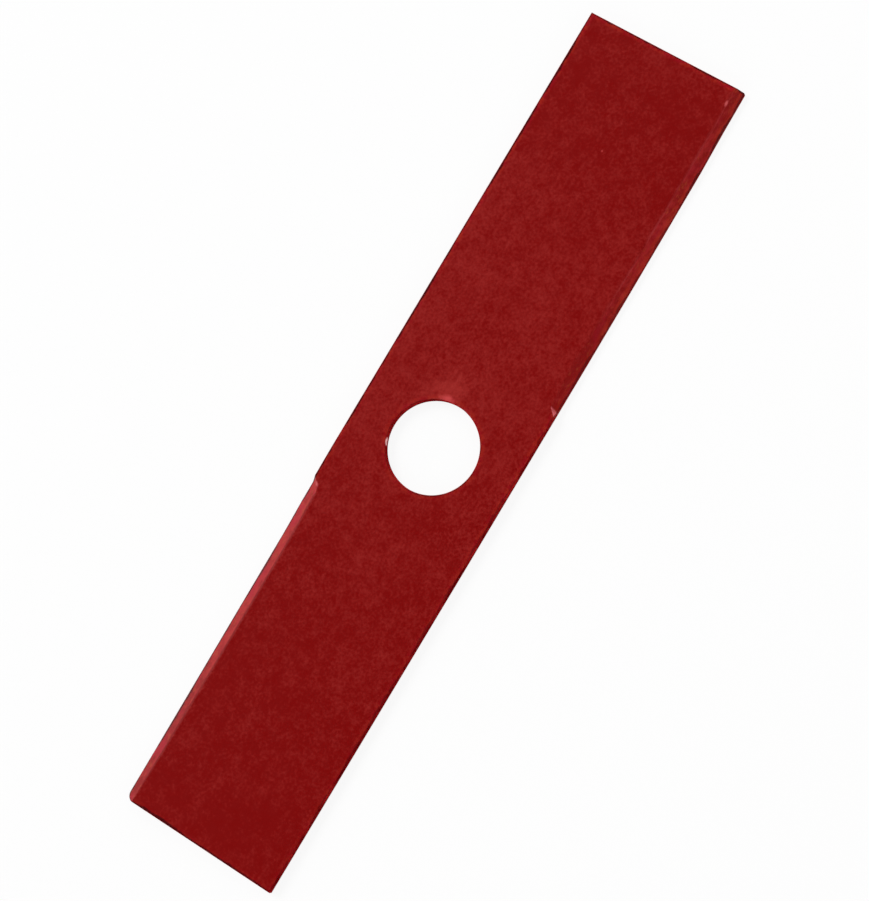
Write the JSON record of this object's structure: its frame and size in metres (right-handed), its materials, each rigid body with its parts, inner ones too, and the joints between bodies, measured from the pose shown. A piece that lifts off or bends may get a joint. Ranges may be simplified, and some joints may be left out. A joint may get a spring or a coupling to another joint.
{
  "type": "brush cutter blade",
  "caption": "Flat straight steel blade for a brush cutter, with a central round arbor bore and a cutting bevel ground at each end on opposite sides, painted red.",
  "frame": {"origin": "centre of the arbor bore on the underside, the face with no bevels", "axes": "+X along the bar, +Y across it, +Z out of the bevelled face; the +X end has its cutting edge on the -Y side"},
  "size_m": [0.243, 0.048, 0.0025],
  "materials": {
    "red_paint": "satin dark red paint over steel"
  },
  "bodies": {
    "root": {"blade": "red_paint"}
  },
  "joints": []
}
